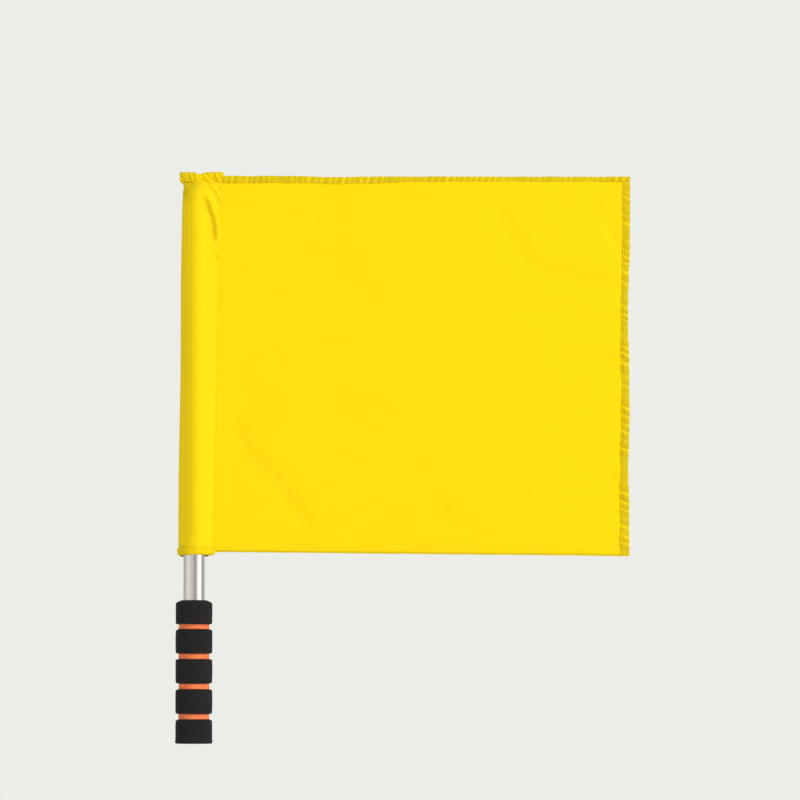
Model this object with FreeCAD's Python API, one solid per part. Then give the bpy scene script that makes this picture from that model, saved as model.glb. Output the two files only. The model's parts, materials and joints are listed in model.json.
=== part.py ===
import FreeCAD, Part
import math
import os

# Hand signal flag: a hemmed cloth panel on a cloth sleeve, over a steel tube with a foam grip.
# Millimetres. The pole's axis is Z, its foot is at zero, the flag flies towards +X and faces -Y.

vector = FreeCAD.Vector

# Pole
tube_radius = 11.0
tube_wall = 0.7
tube_top = 549.0
plug_gap = 0.02
plug_head_height = 2.0
plug_dome_rise = 2.0
plug_cap_height = 1.5
plug_core_radius = 8.6
plug_core_wall = 1.6
plug_length = 20.0
fin_height = 1.2
fin_pitch = 4.5
fin_count = 4

# Grip
block_radius = 18.25
block_height = 24.2
block_edge = 1.8
ring_radius = 15.5
ring_height = 5.7
ring_edge = 0.6
block_count = 5
foam_gap = 0.05
shoulder_width = 6.0
shoulder_drop = 2.0

# Seam between the sleeve and the panel, which leans slightly towards the fly
sleeve_foot = 187.6
sleeve_top = 571.9
seam_foot_x = 21.2
seam_top_x = 28.7

# Sleeve
cloth = 0.6
pole_clearance = 0.45
lip_half = 0.7
lip_width = 3.0
lip_gap = 2.0
neck_height = 551.5
roof_height = 562.0
band_foot = 561.0
band_left = -15.3
band_half = 1.0
roof_slack = 0.5

# Height, then the sleeve's leftmost point and the radius of its left edge
sleeve_stations = [
    (sleeve_foot, -17.2, 4.0),
    (300.0, -15.5, 5.0),
    (463.0, -13.8, 7.0),
    (523.0, -12.9, 9.2),
    (538.0, -12.5, 10.2),
    (neck_height, -12.15, 11.15),
]

# Panel, with its folded hems standing out of its front face
panel_foot_hoist = 191.1
panel_foot_fly = 187.4
panel_top = 567.6
panel_fly_foot = 435.7
panel_fly_top = 436.0
panel_gap = 1.2
panel_half = 0.6
hem_rise = 0.3
top_hem = 7.0
bottom_hem = 6.0
fly_hem = 8.5

# Stitches, drawn as one flat thread on each face of the cloth
thread_width = 0.5
thread_rise = 0.3
stitch_margin = 1.2
sleeve_hem = 8.0


def save(shape, name):
    shape.exportStep("parts/" + name + ".step")


def seam_x(height):
    lean = (seam_top_x - seam_foot_x) / (sleeve_top - sleeve_foot)
    return seam_foot_x + lean * (height - sleeve_foot)


def around(radius, angle, centre_x, height):
    return vector(centre_x + radius * math.cos(angle), radius * math.sin(angle), height)


def mirrored(point):
    return vector(point.x, -point.y, point.z)


def sleeve_outline(height, left, left_radius, body_radius, root_x, root_half, tip_x):
    """Cloth pulled round the pole and a smaller round at the left, closed by a flat lip at the seam."""
    centre = left + left_radius
    meet = math.acos((left_radius - body_radius) / -centre)
    reach = math.hypot(root_x, root_half)
    leave = math.atan2(root_half, root_x) + math.acos(body_radius / reach)
    left_start = around(left_radius, meet, centre, height)
    left_middle = vector(left, 0, height)
    body_start = around(body_radius, meet, 0, height)
    body_middle = around(body_radius, (meet + leave) / 2, 0, height)
    body_end = around(body_radius, leave, 0, height)
    root = vector(root_x, root_half, height)
    edges = [
        Part.Arc(mirrored(left_start), left_middle, left_start).toShape(),
        Part.makeLine(left_start, body_start),
        Part.Arc(body_start, body_middle, body_end).toShape(),
        Part.makeLine(body_end, root),
    ]
    if root_half > 0:
        tip = vector(tip_x, root_half, height)
        edges.append(Part.makeLine(root, tip))
        edges.append(Part.makeLine(tip, mirrored(tip)))
        edges.append(Part.makeLine(mirrored(tip), mirrored(root)))
    edges.append(Part.makeLine(mirrored(root), mirrored(body_end)))
    edges.append(Part.Arc(mirrored(body_end), mirrored(body_middle), mirrored(body_start)).toShape())
    edges.append(Part.makeLine(mirrored(body_start), mirrored(left_start)))
    return Part.Wire(edges)


def outer_section(height, left, left_radius, proud=0.0):
    body_radius = tube_radius + pole_clearance + cloth + proud
    tip_x = seam_x(height) - lip_gap
    root_x = tip_x - lip_width
    return sleeve_outline(
        height, left - proud, left_radius + proud, body_radius, root_x, lip_half + proud, tip_x
    )


def inner_section(height, left, left_radius):
    body_radius = tube_radius + pole_clearance
    root_x = seam_x(height) - lip_gap - lip_width - 1.0
    return sleeve_outline(height, left + cloth, left_radius - cloth, body_radius, root_x, 0.0, 0.0)


def sleeve_at(height):
    """The sleeve's leftmost point and left radius at any height between two stations."""
    for lower, upper in zip(sleeve_stations, sleeve_stations[1:]):
        if lower[0] <= height <= upper[0]:
            share = (height - lower[0]) / (upper[0] - lower[0])
            left = lower[1] + share * (upper[1] - lower[1])
            left_radius = lower[2] + share * (upper[2] - lower[2])
            return left, left_radius
    raise ValueError("height is off the sleeve")


def make_tube():
    height = tube_top - plug_head_height
    base = vector(0, 0, plug_head_height)
    outside = Part.makeCylinder(tube_radius, height, base)
    bore = Part.makeCylinder(tube_radius - tube_wall, height, base)
    return outside.cut(bore)


def plug_stem(direction):
    """A hollow core with rows of fins, running along direction from the origin."""
    axis = vector(0, 0, direction)
    origin = vector(0, 0, 0)
    stem = Part.makeCylinder(plug_core_radius, plug_length, origin, axis)
    fin_radius = tube_radius - tube_wall - plug_gap
    for number in range(fin_count):
        place = vector(0, 0, direction * (2.0 + number * fin_pitch))
        fin = Part.makeCone(fin_radius, fin_radius - 0.5, fin_height, place, axis)
        stem = stem.fuse(fin)
    hollow_start = vector(0, 0, direction * 2.0)
    hollow = Part.makeCylinder(plug_core_radius - plug_core_wall, plug_length, hollow_start, axis)
    return stem.cut(hollow)


def make_top_plug():
    stem = plug_stem(-1)
    head = Part.makeCylinder(tube_radius, plug_cap_height)
    sphere_radius = (tube_radius ** 2 + plug_dome_rise ** 2) / (2 * plug_dome_rise)
    apex = plug_cap_height + plug_dome_rise
    ball = Part.makeSphere(sphere_radius, vector(0, 0, apex - sphere_radius))
    blank = Part.makeCylinder(tube_radius, apex)
    dome = blank.common(ball)
    plug = stem.fuse([head, dome]).removeSplitter()
    plug.translate(vector(0, 0, tube_top))
    return plug


def make_bottom_plug():
    stem = plug_stem(1)
    stem.translate(vector(0, 0, plug_head_height))
    head = Part.makeCylinder(tube_radius, plug_head_height)
    rim = [edge for edge in head.Edges if edge.BoundBox.ZMax < 0.1 and edge.BoundBox.XLength > 1]
    head = head.makeFillet(0.5, rim)
    return stem.fuse(head).removeSplitter()


def foam_ring(foot, height, radius, edge):
    bore_radius = tube_radius + foam_gap
    ring = Part.makeCylinder(radius, height, vector(0, 0, foot))
    rims = [rim for rim in ring.Edges if abs(rim.BoundBox.ZLength) < 0.01]
    ring = ring.makeFillet(edge, rims)
    return ring.cut(Part.makeCylinder(bore_radius, height, vector(0, 0, foot)))


def top_shoulder(foot):
    """The cone that is left of the top block once its shoulder is eased off."""
    top = foot + block_height
    low = foot - 1.0
    points = [
        vector(0, 0, low),
        vector(block_radius + 1, 0, low),
        vector(block_radius + 1, 0, top - shoulder_drop - shoulder_drop / shoulder_width),
        vector(block_radius - shoulder_width, 0, top),
        vector(0, 0, top),
        vector(0, 0, low),
    ]
    face = Part.Face(Part.makePolygon(points))
    return face.revolve(vector(0, 0, 0), vector(0, 0, 1), 360)


def make_grip():
    pitch = block_height + ring_height
    for number in range(block_count):
        foot = number * pitch
        block = foam_ring(foot, block_height, block_radius, block_edge)
        if number == block_count - 1:
            block = block.common(top_shoulder(foot))
        save(block, "grip_block_" + str(number + 1))
        if number < block_count - 1:
            ring = foam_ring(foot + block_height, ring_height, ring_radius, ring_edge)
            save(ring, "grip_ring_" + str(number + 1))


def make_sleeve():
    outer = [outer_section(*station) for station in sleeve_stations]
    inner = [inner_section(*station) for station in sleeve_stations]
    outer_skin = Part.makeLoft(outer, True, True)
    inner_skin = Part.makeLoft(inner, True, True)

    tip_x = seam_x(roof_height) - lip_gap
    root_x = tip_x - lip_width
    roof_outer = sleeve_outline(roof_height, band_left, 0.8, 0.9, root_x, lip_half, tip_x)
    roof_inner = sleeve_outline(
        roof_height - roof_slack, band_left + 1.0, 0.2, 0.3, root_x - 1.0, 0.0, 0.0
    )
    outer_roof = Part.makeLoft([outer[-1], roof_outer], True, True)
    inner_roof = Part.makeLoft([inner[-1], roof_inner], True, True)

    band = Part.makeBox(
        tip_x - band_left,
        2 * band_half,
        sleeve_top - band_foot,
        vector(band_left, -band_half, band_foot),
    )
    shell = outer_skin.cut(inner_skin)
    roof = outer_roof.fuse(band).cut(inner_roof)
    return shell.fuse(roof)


def panel_blank(margin_top, margin_bottom, margin_fly, half, centre):
    """The panel's outline, drawn in from its edges by the margins."""
    foot_hoist = panel_foot_hoist + margin_bottom
    top = panel_top - margin_top
    corners = [
        vector(seam_x(foot_hoist) + panel_gap, centre - half, foot_hoist),
        vector(panel_fly_foot - margin_fly, centre - half, panel_foot_fly + margin_bottom),
        vector(panel_fly_top - margin_fly, centre - half, top),
        vector(seam_x(top) + panel_gap, centre - half, top),
    ]
    corners.append(corners[0])
    return Part.Face(Part.makePolygon(corners)).extrude(vector(0, 2 * half, 0))


def make_panel():
    sheet = panel_blank(0, 0, 0, panel_half, 0)
    rim_centre = -(panel_half + hem_rise / 2)
    rim = panel_blank(0, 0, 0, hem_rise / 2, rim_centre)
    window = panel_blank(top_hem, bottom_hem, fly_hem, hem_rise, rim_centre)
    # The hoist edge has no hem, so the window runs out past it
    window_left = window.copy()
    window_left.translate(vector(-4 * panel_gap, 0, 0))
    return sheet.fuse(rim.cut(window).cut(window_left)).removeSplitter()


def thread_run(start, finish, face, outward):
    """A flat thread between two points of the XZ plane, standing out of a face of the cloth."""
    along = finish.sub(start)
    along.normalize()
    across = vector(-along.z, 0, along.x)
    half = thread_width / 2
    corners = [
        start.add(across * half),
        start.add(across * -half),
        finish.add(across * -half),
        finish.add(across * half),
    ]
    corners = [vector(point.x, face, point.z) for point in corners]
    corners.append(corners[0])
    return Part.Face(Part.makePolygon(corners)).extrude(vector(0, outward * thread_rise, 0))


def two_sided(start, finish, front_face, back_face):
    front = thread_run(start, finish, front_face, -1)
    back = thread_run(start, finish, back_face, 1)
    return Part.makeCompound([front, back])


def make_threads():
    lip_middle = lip_gap + lip_width / 2
    low = vector(seam_x(sleeve_foot + 1) - lip_middle, 0, sleeve_foot + 1)
    high = vector(seam_x(neck_height - 1) - lip_middle, 0, neck_height - 1)
    save(two_sided(low, high, -lip_half, lip_half), "sleeve_seam_thread")

    band_line = (roof_height + sleeve_top) / 2
    left = vector(band_left + 1, 0, band_line)
    right = vector(seam_x(band_line) - lip_gap - 1, 0, band_line)
    save(two_sided(left, right, -band_half, band_half), "sleeve_closing_thread")

    hem_line = sleeve_foot + sleeve_hem
    rings = []
    for proud in (thread_rise, 0.0):
        sections = []
        for height in (hem_line, hem_line + thread_width):
            sections.append(outer_section(height, *sleeve_at(height), proud))
        rings.append(Part.makeLoft(sections, True, True))
    lip_end = seam_x(hem_line) - lip_gap - lip_width
    keep = Part.makeBox(lip_end + 100, 100, 10, vector(-100, -50, hem_line - 5))
    save(rings[0].cut(rings[1]).common(keep), "sleeve_bottom_thread")

    front = -(panel_half + hem_rise)
    inset = 2.0
    line = panel_top - top_hem + stitch_margin
    left = vector(seam_x(line) + panel_gap + inset, 0, line)
    right = vector(panel_fly_top - inset, 0, line)
    save(two_sided(left, right, front, panel_half), "top_hem_thread")

    rise = bottom_hem - stitch_margin
    left = vector(seam_x(panel_foot_hoist) + panel_gap + inset, 0, panel_foot_hoist + rise)
    right = vector(panel_fly_foot - fly_hem, 0, panel_foot_fly + rise)
    save(two_sided(left, right, front, panel_half), "bottom_hem_thread")

    offset = fly_hem - stitch_margin
    low = vector(panel_fly_foot - offset, 0, panel_foot_fly + inset)
    high = vector(panel_fly_top - offset, 0, panel_top - top_hem)
    save(two_sided(low, high, front, panel_half), "fly_hem_thread")


os.makedirs("parts", exist_ok=True)
save(make_tube(), "pole_tube")
save(make_top_plug(), "pole_top_plug")
save(make_bottom_plug(), "pole_bottom_plug")
make_grip()
save(make_sleeve(), "flag_sleeve")
save(make_panel(), "flag_panel")
make_threads()
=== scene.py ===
import json
import math

import bmesh
import bpy
from mathutils import Matrix, Vector, noise
from mathutils.bvhtree import BVHTree


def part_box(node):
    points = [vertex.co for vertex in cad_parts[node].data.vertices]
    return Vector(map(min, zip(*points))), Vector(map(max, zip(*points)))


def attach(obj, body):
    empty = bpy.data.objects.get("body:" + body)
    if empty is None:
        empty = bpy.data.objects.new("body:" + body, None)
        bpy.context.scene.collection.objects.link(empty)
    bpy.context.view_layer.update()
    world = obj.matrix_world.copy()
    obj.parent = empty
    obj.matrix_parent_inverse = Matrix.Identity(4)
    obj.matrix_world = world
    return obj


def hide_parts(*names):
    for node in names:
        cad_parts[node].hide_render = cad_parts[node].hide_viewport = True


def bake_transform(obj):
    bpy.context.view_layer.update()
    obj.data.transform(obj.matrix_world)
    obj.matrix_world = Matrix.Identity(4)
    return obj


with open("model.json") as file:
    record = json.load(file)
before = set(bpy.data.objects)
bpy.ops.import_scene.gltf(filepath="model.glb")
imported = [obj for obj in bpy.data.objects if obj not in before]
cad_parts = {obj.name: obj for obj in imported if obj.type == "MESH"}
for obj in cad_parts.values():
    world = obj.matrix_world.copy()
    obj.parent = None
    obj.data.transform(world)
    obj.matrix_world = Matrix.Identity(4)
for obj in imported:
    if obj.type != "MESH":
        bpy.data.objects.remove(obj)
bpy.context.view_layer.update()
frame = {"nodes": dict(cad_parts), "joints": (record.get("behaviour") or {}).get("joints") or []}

# Hand signal flag: yellow cloth on a sleeve, over a steel tube with a foam grip.
# Metres, with the pole along Z, the flag towards +X and its shown side facing -Y.
mm = 0.001
scene = bpy.context.scene
nodes = frame["nodes"]


def smooth(start, end, value):
    t = min(max((value - start) / (end - start), 0.0), 1.0)
    return t * t * (3 - 2 * t)


def mix(a, b, t):
    return a + (b - a) * t


def between(stations, height):
    # straight-line reading of rows that start with a height
    if height <= stations[0][0]:
        return stations[0][1:]
    for lower, upper in zip(stations, stations[1:]):
        if height <= upper[0]:
            t = (height - lower[0]) / (upper[0] - lower[0])
            return tuple(mix(a, b, t) for a, b in zip(lower[1:], upper[1:]))
    return stations[-1][1:]


def hump(distance, width):
    return math.exp(-(distance / width) ** 2)


def wobble(a, b, c):
    # smooth noise from about -1 to 1, the same on each run
    return noise.noise(Vector((a, b, c)))


def rounding(share):
    # height of a quarter round, reached at a share of 1
    return math.sqrt(max(0.0, 1 - (1 - min(share, 1)) ** 2))


def deselectAll():
    bpy.ops.object.select_all(action="DESELECT")


def makeActive(obj):
    deselectAll()
    obj.select_set(True)
    bpy.context.view_layer.objects.active = obj


def applyModifier(obj, kind, **settings):
    makeActive(obj)
    modifier = obj.modifiers.new(kind.lower(), kind)
    for key, value in settings.items():
        setattr(modifier, key, value)
    bpy.ops.object.modifier_apply(modifier=modifier.name)


def pick(obj, kind, test):
    # in edit mode, selects only the parts that pass the test
    bpy.ops.mesh.select_mode(type=kind)
    bpy.ops.mesh.select_all(action="DESELECT")
    mesh = bmesh.from_edit_mesh(obj.data)
    parts = {"VERT": mesh.verts, "EDGE": mesh.edges}[kind]
    for part in parts:
        if test(part):
            part.select_set(True)
    bmesh.update_edit_mesh(obj.data)


def shadeSmooth(obj, degrees=50):
    makeActive(obj)
    bpy.ops.object.shade_smooth_by_angle(angle=math.radians(degrees))


def giveMaterial(obj, material, slotName):
    obj.data.materials.clear()
    obj.data.materials.append(material)


def linearColour(hexText):
    # sRGB hex to the linear values that a shader takes
    channels = []
    for start in (0, 2, 4):
        value = int(hexText[start:start + 2], 16) / 255
        channels.append(value / 12.92 if value <= 0.04045 else ((value + 0.055) / 1.055) ** 2.4)
    return (*channels, 1.0)


def addNode(tree, kind, inputs=None, feeds=None, **settings):
    # inputs are values, sockets, or nodes for their first output, which may also feed a socket
    node = tree.nodes.new("ShaderNode" + kind)
    for key, value in settings.items():
        setattr(node, key, value)
    for key, value in (inputs or {}).items():
        if isinstance(value, bpy.types.Node):
            value = value.outputs[0]
        if isinstance(value, bpy.types.NodeSocket):
            tree.links.new(value, node.inputs[key])
        else:
            node.inputs[key].default_value = value
    if feeds:
        tree.links.new(node.outputs[0], feeds)
    return node


def newMaterial(name, shaderValues):
    material = bpy.data.materials.new(name)
    material.use_nodes = True
    shader = material.node_tree.nodes["Principled BSDF"]
    for key, value in shaderValues.items():
        shader.inputs[key].default_value = value
    return material, material.node_tree, shader


def clothMaterial():
    # Woven polyester taffeta: fine plain weave, soft sheen, faint thick-and-thin threads.
    # An attribute paints the colour deeper as painted shade, in folds, creases, hems and shaded edges; one
    # layer keeps the cloth's own colour.
    cloth = {
        # the cloth's own colour, then the deeper painted-shade colour, each for thin and thick threads
        "single": ("FFDE14", "FFDB12"),
        "folded": ("E2C719", "DABE17"),
        "threadPitch": 0.5 * mm,    # real taffeta has about 0.2 mm, drawn coarser so that it shows close up
        "slubLength": 45 * mm,
        "slubWidth": 1.1 * mm,
        "bumpHeight": 0.04 * mm,
    }
    material, tree, shader = newMaterial("polyesterTaffeta", {
        "Roughness": 0.55,
        "Specular IOR Level": 0.25,
        "Specular Tint": linearColour("FFC800"),
        "Sheen Weight": 0.06,
        "Sheen Roughness": 0.4,
        "Sheen Tint": linearColour("FFD800"),
    })
    cut = addNode(tree, "UVMap", uv_map="cut")
    # how much painted shade each point gets, from 0 to 1
    paintedShadeAmount = addNode(tree, "Attribute", attribute_name="paintedShadeAmount").outputs["Fac"]

    # warp and weft as two wave textures, whose bands are 0.314 / scale apart
    waveScale = 0.31416 / cloth["threadPitch"]
    threads = []
    for direction in ("X", "Y"):
        bands = {"Vector": cut, "Scale": waveScale}
        wave = addNode(tree, "TexWave", bands, bands_direction=direction)
        threads.append(addNode(tree, "Math", {0: wave.outputs["Fac"], 1: 0.5}, operation="SUBTRACT"))
    weave = addNode(tree, "Math", {0: threads[0], 1: threads[1]}, operation="MULTIPLY")

    # long thin streaks along each set of threads
    across, along = 1 / cloth["slubWidth"], 1 / cloth["slubLength"]
    streaks = []
    for stretch in ((across, along, 1), (along, across, 1)):
        mapped = addNode(tree, "Mapping", {"Vector": cut, "Scale": stretch})
        slub = {"Vector": mapped, "Scale": 1.0}
        streaks.append(addNode(tree, "TexNoise", slub))
    slubs = addNode(tree, "Math", {0: streaks[0], 1: streaks[1]}, operation="ADD")
    tone = addNode(tree, "MapRange", {"Value": slubs, "From Min": 0.6, "From Max": 1.4})
    shades = []
    for thin, thick in (cloth["single"], cloth["folded"]):
        ends = {0: tone, 6: linearColour(thick), 7: linearColour(thin)}
        shades.append(addNode(tree, "Mix", ends, data_type="RGBA").outputs[2])
    colour = addNode(tree, "Mix", {0: paintedShadeAmount, 6: shades[0], 7: shades[1]}, data_type="RGBA")
    tree.links.new(colour.outputs[2], shader.inputs["Base Color"])

    height = addNode(tree, "Math", {0: weave, 1: 2.0, 2: slubs}, operation="MULTIPLY_ADD")
    relief = {"Height": height, "Strength": 0.35, "Distance": cloth["bumpHeight"]}
    addNode(tree, "Bump", relief, shader.inputs["Normal"])
    return material


def grainyMaterial(name, shaderValues, scale, detail, strength):
    # one colour, with a fine grain all over
    material, tree, shader = newMaterial(name, shaderValues)
    place = addNode(tree, "TexCoord").outputs["Object"]
    grain = addNode(tree, "TexNoise", {"Vector": place, "Scale": scale, "Detail": detail})
    relief = {"Height": grain, "Strength": strength, "Distance": 0.05 * mm}
    addNode(tree, "Bump", relief, shader.inputs["Normal"])
    return material


def foamMaterial(name, darkHex, lightHex, specular):
    # Closed-cell EVA foam: matt skin of tiny open cells, slightly mottled where it was cut.
    foam = {"cell": 0.7 * mm, "mottle": 6 * mm, "bumpHeight": 0.12 * mm}
    material, tree, shader = newMaterial(name, {
        "Roughness": 0.92,
        "Specular IOR Level": specular,
    })
    place = addNode(tree, "TexCoord").outputs["Object"]
    cells = addNode(tree, "TexVoronoi", {"Vector": place, "Scale": 1 / foam["cell"]})
    blotches = {"Vector": place, "Scale": 1 / foam["mottle"], "Detail": 6.0, "Roughness": 0.7}
    mottle = addNode(tree, "TexNoise", blotches)
    speckle = addNode(tree, "Math", {0: cells, 1: 0.1, 2: mottle}, operation="MULTIPLY_ADD")
    tone = addNode(tree, "MapRange", {"Value": speckle, "From Min": 0.35, "From Max": 0.75})
    ends = {0: tone, 6: linearColour(darkHex), 7: linearColour(lightHex)}
    colour = addNode(tree, "Mix", ends, data_type="RGBA")
    tree.links.new(colour.outputs[2], shader.inputs["Base Color"])
    relief = {"Height": cells, "Strength": 0.5, "Distance": foam["bumpHeight"]}
    addNode(tree, "Bump", relief, shader.inputs["Normal"], invert=True)
    return material


def steelMaterial():
    # Polished stainless steel tube: mirror bright, with faint draw lines along it and hazy handling marks.
    steel = {"lineWidth": 0.35 * mm, "lineLength": 90 * mm, "haze": 14 * mm}
    material, tree, shader = newMaterial("polishedStainlessSteel", {
        "Base Color": linearColour("CFCAC4"),
        "Metallic": 1.0,
    })
    place = addNode(tree, "TexCoord").outputs["Object"]
    stretch = (1 / steel["lineWidth"], 1 / steel["lineWidth"], 1 / steel["lineLength"])
    drawn = addNode(tree, "Mapping", {"Vector": place, "Scale": stretch})
    lines = addNode(tree, "TexNoise", {"Vector": drawn, "Scale": 1.0, "Detail": 3.0})
    haze = addNode(tree, "TexNoise", {"Vector": place, "Scale": 1 / steel["haze"], "Detail": 4.0})
    blur = {"Value": haze, "From Min": 0.3, "From Max": 0.7, "To Min": 0.13, "To Max": 0.2}
    addNode(tree, "MapRange", blur, shader.inputs["Roughness"])
    relief = {"Height": lines, "Strength": 0.12, "Distance": 0.02 * mm}
    addNode(tree, "Bump", relief, shader.inputs["Normal"])
    return material


taffeta = clothMaterial()
# Spun polyester sewing thread: two plies twisted together, fuzzier and duller than the cloth.
sewingThread = grainyMaterial("spunPolyesterThread", {
    "Base Color": linearColour("EFCB1A"), "Roughness": 0.7, "Specular IOR Level": 0.2, "Sheen Weight": 0.25,
}, scale=5000.0, detail=2.0, strength=0.4)
blackFoam = foamMaterial("blackEvaFoam", "1B191A", "262425", 0.22)
orangeFoam = foamMaterial("orangeEvaFoam", "FB703C", "FF965F", 0.45)
steel = steelMaterial()
# Injection-moulded polyethylene plug: satin black with a fine eroded grain.
plastic = grainyMaterial("mouldedPolyethylene", {
    "Base Color": linearColour("1B1B1C"), "Roughness": 0.46,
}, scale=2200.0, detail=3.0, strength=0.25)
print("materials ready")


# The foam grip: one rounded profile, spun round the pole for each block and ring.
grip = {
    "steps": 96,
    "boreRadius": 11.05 * mm,
    "blockEdge": 1.7 * mm,
    "ringEdge": 0.7 * mm,
    "cuts": 13,                # along each straight side of the profile
    "softness": 0.16 * mm,     # how lumpy the skin is
    "lumpScale": 150,
    "firmTo": 0.5 * mm,        # near the bore the foam keeps true, and is free from here on
    "freeFrom": 3 * mm,
    "rimFrom": 15.6 * mm,
    "rimWidth": 1.2 * mm,
}
# mm: how much a piece swells at its middle, flares at its foot, is pushed down at its top and squeezed
# down further at its shoulder, then how far its rim has slipped down at its foot and at its top
foamShapes = {
    "grip_block_1": (0.1, 0.5, 0, 0, 0, 0.6),
    "grip_block_2": (0.15, 0, 0, 0, 0.3, 0.3),
    "grip_block_3": (0.15, 0, 0, 0, -0.2, 0),
    "grip_block_4": (0.15, 0, 0, 0, 0, 0.5),
    "grip_block_5": (0.1, 0, 0.9, 2.2, 0.8, 0),
}
ringFoamShape = (-0.25, 0, 0, 0, 0, 0)


def foamPiece(name, node, edgeRadius):
    low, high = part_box(node)
    swell, flare, push, squeeze, footSlip, topSlip = foamShapes.get(node, ringFoamShape)
    radius = high.x
    middle = (grip["boreRadius"] + radius) / 2
    deselectAll()
    bpy.ops.mesh.primitive_plane_add(
        size=1, rotation=(math.pi / 2, 0, 0), location=(middle, 0, (low.z + high.z) / 2)
    )
    piece = bpy.context.object
    piece.name = name
    piece.scale = (radius - grip["boreRadius"], high.z - low.z, 1)
    bpy.ops.object.transform_apply(location=True, rotation=True, scale=True)

    bpy.ops.object.mode_set(mode="EDIT")
    pick(piece, "VERT", lambda vertex: vertex.co.x > middle)
    bpy.ops.mesh.bevel(offset=edgeRadius, segments=6, profile=0.5, affect="VERTICES")
    bpy.ops.mesh.select_all(action="SELECT")
    bpy.ops.mesh.delete(type="ONLY_FACE")
    pick(piece, "EDGE", lambda edge: edge.calc_length() > 3 * mm)
    bpy.ops.mesh.subdivide(number_cuts=grip["cuts"])
    bpy.ops.mesh.select_all(action="SELECT")
    bpy.ops.mesh.spin(
        steps=grip["steps"], angle=math.tau, use_auto_merge=True, center=(0, 0, 0), axis=(0, 0, 1)
    )
    bpy.ops.mesh.select_all(action="SELECT")
    bpy.ops.mesh.remove_doubles(threshold=0.01 * mm)
    bpy.ops.mesh.normals_make_consistent(inside=False)
    bpy.ops.object.mode_set(mode="OBJECT")

    # soft foam is never quite true: a slight swell, and a lumpy skin away from the bore
    for vertex in piece.data.vertices:
        place = vertex.co
        reach = math.hypot(place.x, place.y)
        outward = smooth(grip["firmTo"], grip["freeFrom"], reach - grip["boreRadius"])
        rise = (place.z - low.z) / (high.z - low.z)
        near = smooth(0.55, 1.0, rise)
        grow = swell * mm * (1 - (2 * rise - 1) ** 2) + flare * mm * (1 - smooth(0.0, 0.3, rise))
        grow += grip["softness"] * noise.noise(place * grip["lumpScale"])
        grow *= outward
        place.x *= 1 + grow / reach
        place.y *= 1 + grow / reach
        rim = smooth(0, grip["rimWidth"], reach - grip["rimFrom"])
        drop = push * near + squeeze * near * smooth(0.62, 1.0, reach / radius)
        place.z -= (drop + mix(footSlip, topSlip, rise) * rim) * mm
    shadeSmooth(piece)
    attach(piece, "pole")
    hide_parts(node)
    return piece


for kind, count, edgeRadius, material, slotName in (
    ("Block", 5, grip["blockEdge"], blackFoam, "black_foam"),
    ("Ring", 4, grip["ringEdge"], orangeFoam, "orange_foam"),
):
    for number in range(1, count + 1):
        piece = foamPiece(f"foam{kind}{number}", f"grip_{kind.lower()}_{number}", edgeRadius)
        giveMaterial(piece, material, slotName)
print("grip ready")

for nodeName, material in (("pole_tube", steel), ("pole_top_plug", plastic), ("pole_bottom_plug", plastic)):
    nodes[nodeName].data.materials.clear()
    nodes[nodeName].data.materials.append(material)


# The seam is the line that the panel folds about, so it comes from the frame's joint.
seamJoint = next(joint for joint in frame["joints"] if joint["name"] == "seam_fold")
seamFoot = Vector(seamJoint["pos_m"])
seamAxis = Vector(seamJoint["axis"]).normalized()
panelLow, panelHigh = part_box("flag_panel")
sleeveLow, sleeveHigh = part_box("flag_sleeve")


def seamX(z):
    return seamFoot.x + (z - seamFoot.z) * seamAxis.x / seamAxis.z


sleeveShape = {
    "thickness": 0.32 * mm,
    "foot": sleeveLow.z,
    "lipHalf": 0.36 * mm,      # each layer's distance from the panel that it holds
    "lipWidth": 4 * mm,
    "lipCut": 1.9 * mm,        # the lips are drawn in this much at the foot
    "lipCutHeight": 2.4 * mm,
    "hem": 8 * mm,
    "hemGap": 0.42 * mm,
    "hemProud": 0.75 * mm,     # the hem stands this proud, give or take its tucks
    "hemTuck": 0.6 * mm,
    "groove": 0.45 * mm,       # its stitching pulls it in this deep, give or take
    "grooveVaries": 0.6 * mm,
    "grooveWidth": 1.4 * mm,
    "clearRight": 2.2 * mm,    # the front rolls over about a line this far right of the pole's axis,
    "clearFront": 3.0 * mm,    # this far in front of it,
    "rollTighter": 1.8 * mm,   # and this much tighter than round the pole,
    "clearFrom": 30 * mm,      # from here up to between these heights
    "clearEnds": (345 * mm, 366 * mm),
    "poleClear": 11.3 * mm,    # the cloth keeps this far from the pole's axis, up to this height
    "poleClearTo": 552 * mm,
    "backHangs": 1.3 * mm,     # the back layer hangs lower than the front
    "topGap": 6 * mm,          # it ends this far down, inside the closing band
    "rows": 300,
    "segments": (6, 9, 16, 30, 4),    # left arc, left run, pole arc, right run and lip
}
# mm: height above the foot, then left edge, left radius and the radius round the pole
sleeveStations = [[value * mm for value in station] for station in (
    (0, -14, 4.4, 11.75), (1.2, -15.4, 4.2, 11.85), (3.5, -15.8, 4, 11.95),
    (8, -15.8, 4, 11.9), (14, -15.6, 4, 11.7), (36, -15.7, 4.2, 11.6),
    (96, -15.2, 4.6, 11.6), (156, -14.2, 5.4, 11.6), (186, -13.8, 5.8, 11.6),
    (276, -13.9, 6.8, 11.6), (336, -12.9, 8.8, 11.6), (352, -12.4, 9.9, 11.6),
    (363.5, -11.85, 10.9, 11.55), (367, -11.3, 8.2, 10.3), (370.5, -10.9, 3.2, 6.8),
    (373.5, -12.6, 0.7, 1.6), (376, -14.6, 0.5, 0.6), (384, -14.8, 0.4, 0.45),
)]


def onCircle(centre, radius, angle):
    return centre + radius * Vector((math.cos(angle), math.sin(angle)))


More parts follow.
